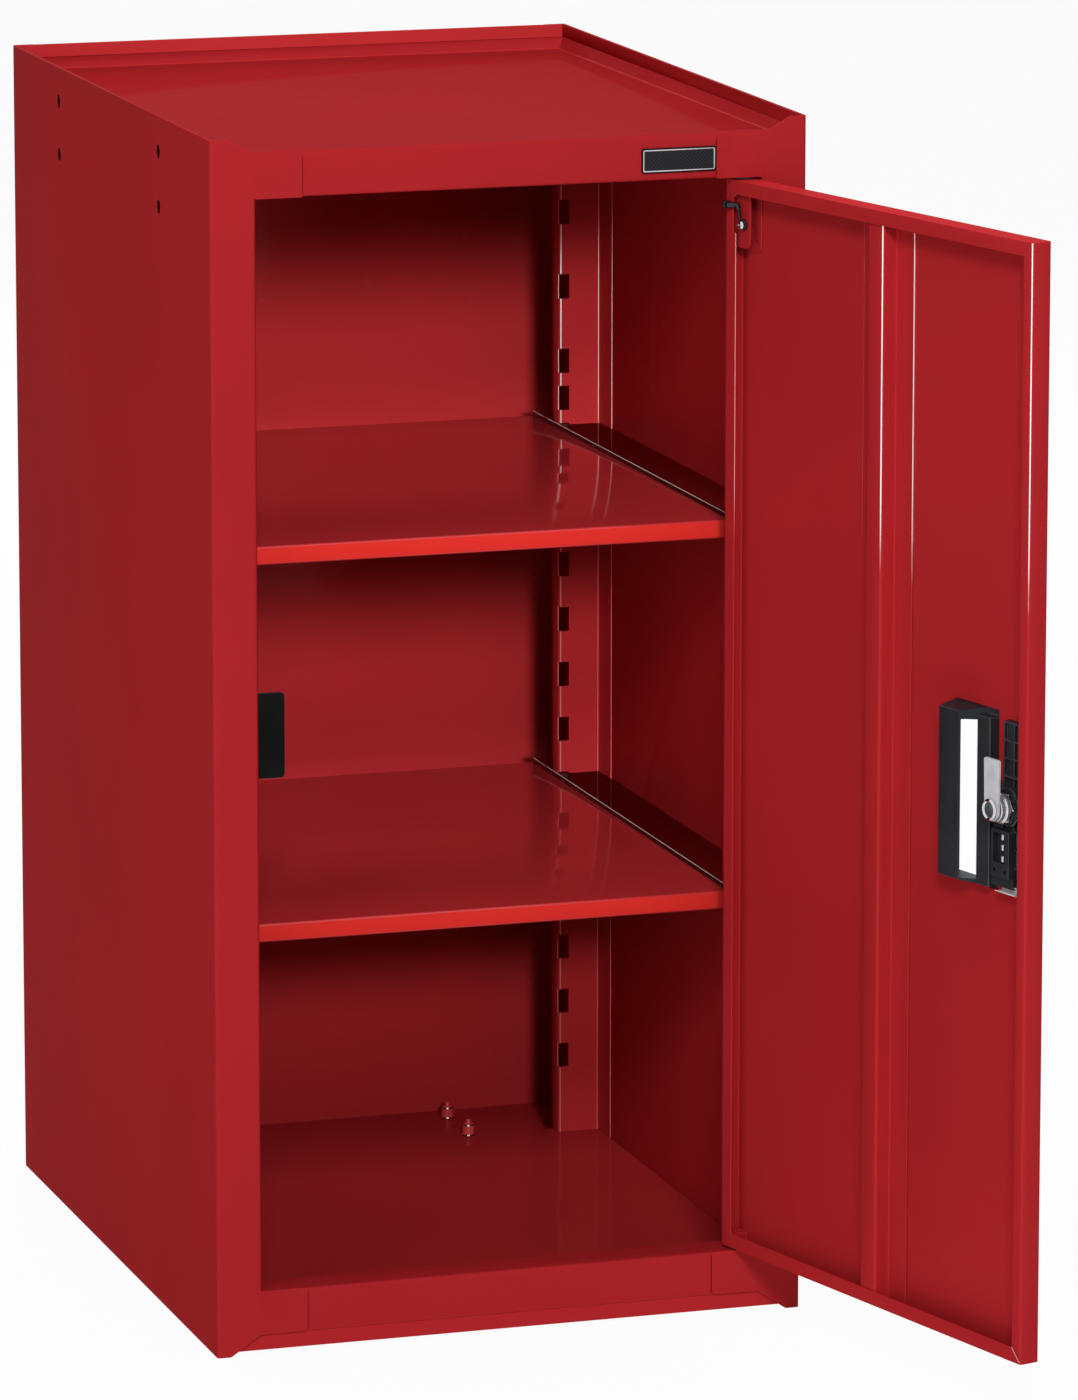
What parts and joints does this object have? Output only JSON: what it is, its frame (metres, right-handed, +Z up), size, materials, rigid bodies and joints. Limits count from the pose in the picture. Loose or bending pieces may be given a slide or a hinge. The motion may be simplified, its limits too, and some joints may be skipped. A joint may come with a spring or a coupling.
{
  "type": "tool chest side locker",
  "caption": "Tall sheet-steel locker that hangs on the side of a tool chest, with a hinged inset door, a cam lock, adjustable shelves and a shallow tray top.",
  "frame": {"origin": "on the floor, at the middle of the flange folded under the back panel: half-way across the width", "axes": "+Z up, -Y out through the doorway, +X towards the hinge side (right, seen from the front)"},
  "size_m": [0.4324, 0.7856, 0.765],
  "materials": {
    "red_paint": "gloss",
    "zinc_steel": "zinc plated",
    "chrome": "polished",
    "black_plastic": "satin",
    "black_badge": "gloss",
    "black_wire": "satin",
    "nylon": "matte"
  },
  "bodies": {
    "carcass": {"left_side_panel": "red_paint", "right_side_panel": "red_paint", "back_panel": "red_paint", "top_panel": "red_paint", "bottom_pan": "red_paint", "bottom_rail": "red_paint", "rear_left_upright": "red_paint", "rear_right_upright": "red_paint", "front_left_upright": "red_paint", "front_right_upright": "red_paint", "upper_shelf": "red_paint", "lower_shelf": "red_paint", "floor_stud_left_1": "red_paint", "floor_stud_left_2": "red_paint", "floor_stud_right_1": "red_paint", "floor_stud_right_2": "red_paint", "lower_rear_left_clip": "zinc_steel", "lower_rear_right_clip": "zinc_steel", "lower_front_left_clip": "zinc_steel", "lower_front_right_clip": "zinc_steel", "upper_rear_left_clip": "zinc_steel", "upper_rear_right_clip": "zinc_steel", "upper_front_left_clip": "zinc_steel", "upper_front_right_clip": "zinc_steel", "badge_plate": "black_badge", "strike_plate": "black_plastic", "upper_hinge_bush": "nylon", "lower_hinge_bush": "nylon"},
    "door": {"door_panel": "red_paint", "door_stiffener": "red_paint", "upper_hinge_pin": "zinc_steel", "lower_hinge_pin": "zinc_steel", "lower_hinge_block": "zinc_steel", "upper_hinge_bracket": "red_paint", "upper_pin_clip": "black_wire", "upper_clip_screw": "chrome", "handle_housing": "black_plastic", "lock_cylinder": "chrome", "lock_nut": "chrome", "handle_spring_clip": "zinc_steel"},
    "lock_cam": {"lock_plug": "chrome", "lock_cam": "chrome", "cam_nut": "chrome"}
  },
  "joints": [
    {"name": "door_swing", "type": "hinge", "parent": "carcass", "child": "door", "pos_m": [0.153, -0.469, 0.38435], "axis": [0, 0, 1], "range_deg": [-105, 7]},
    {"name": "cam_turn", "type": "hinge", "parent": "door", "child": "lock_cam", "pos_m": [0.21942, -0.74781, 0.381], "axis": [0.9659, 0.2588, 0], "range_deg": [0, 90]}
  ]
}
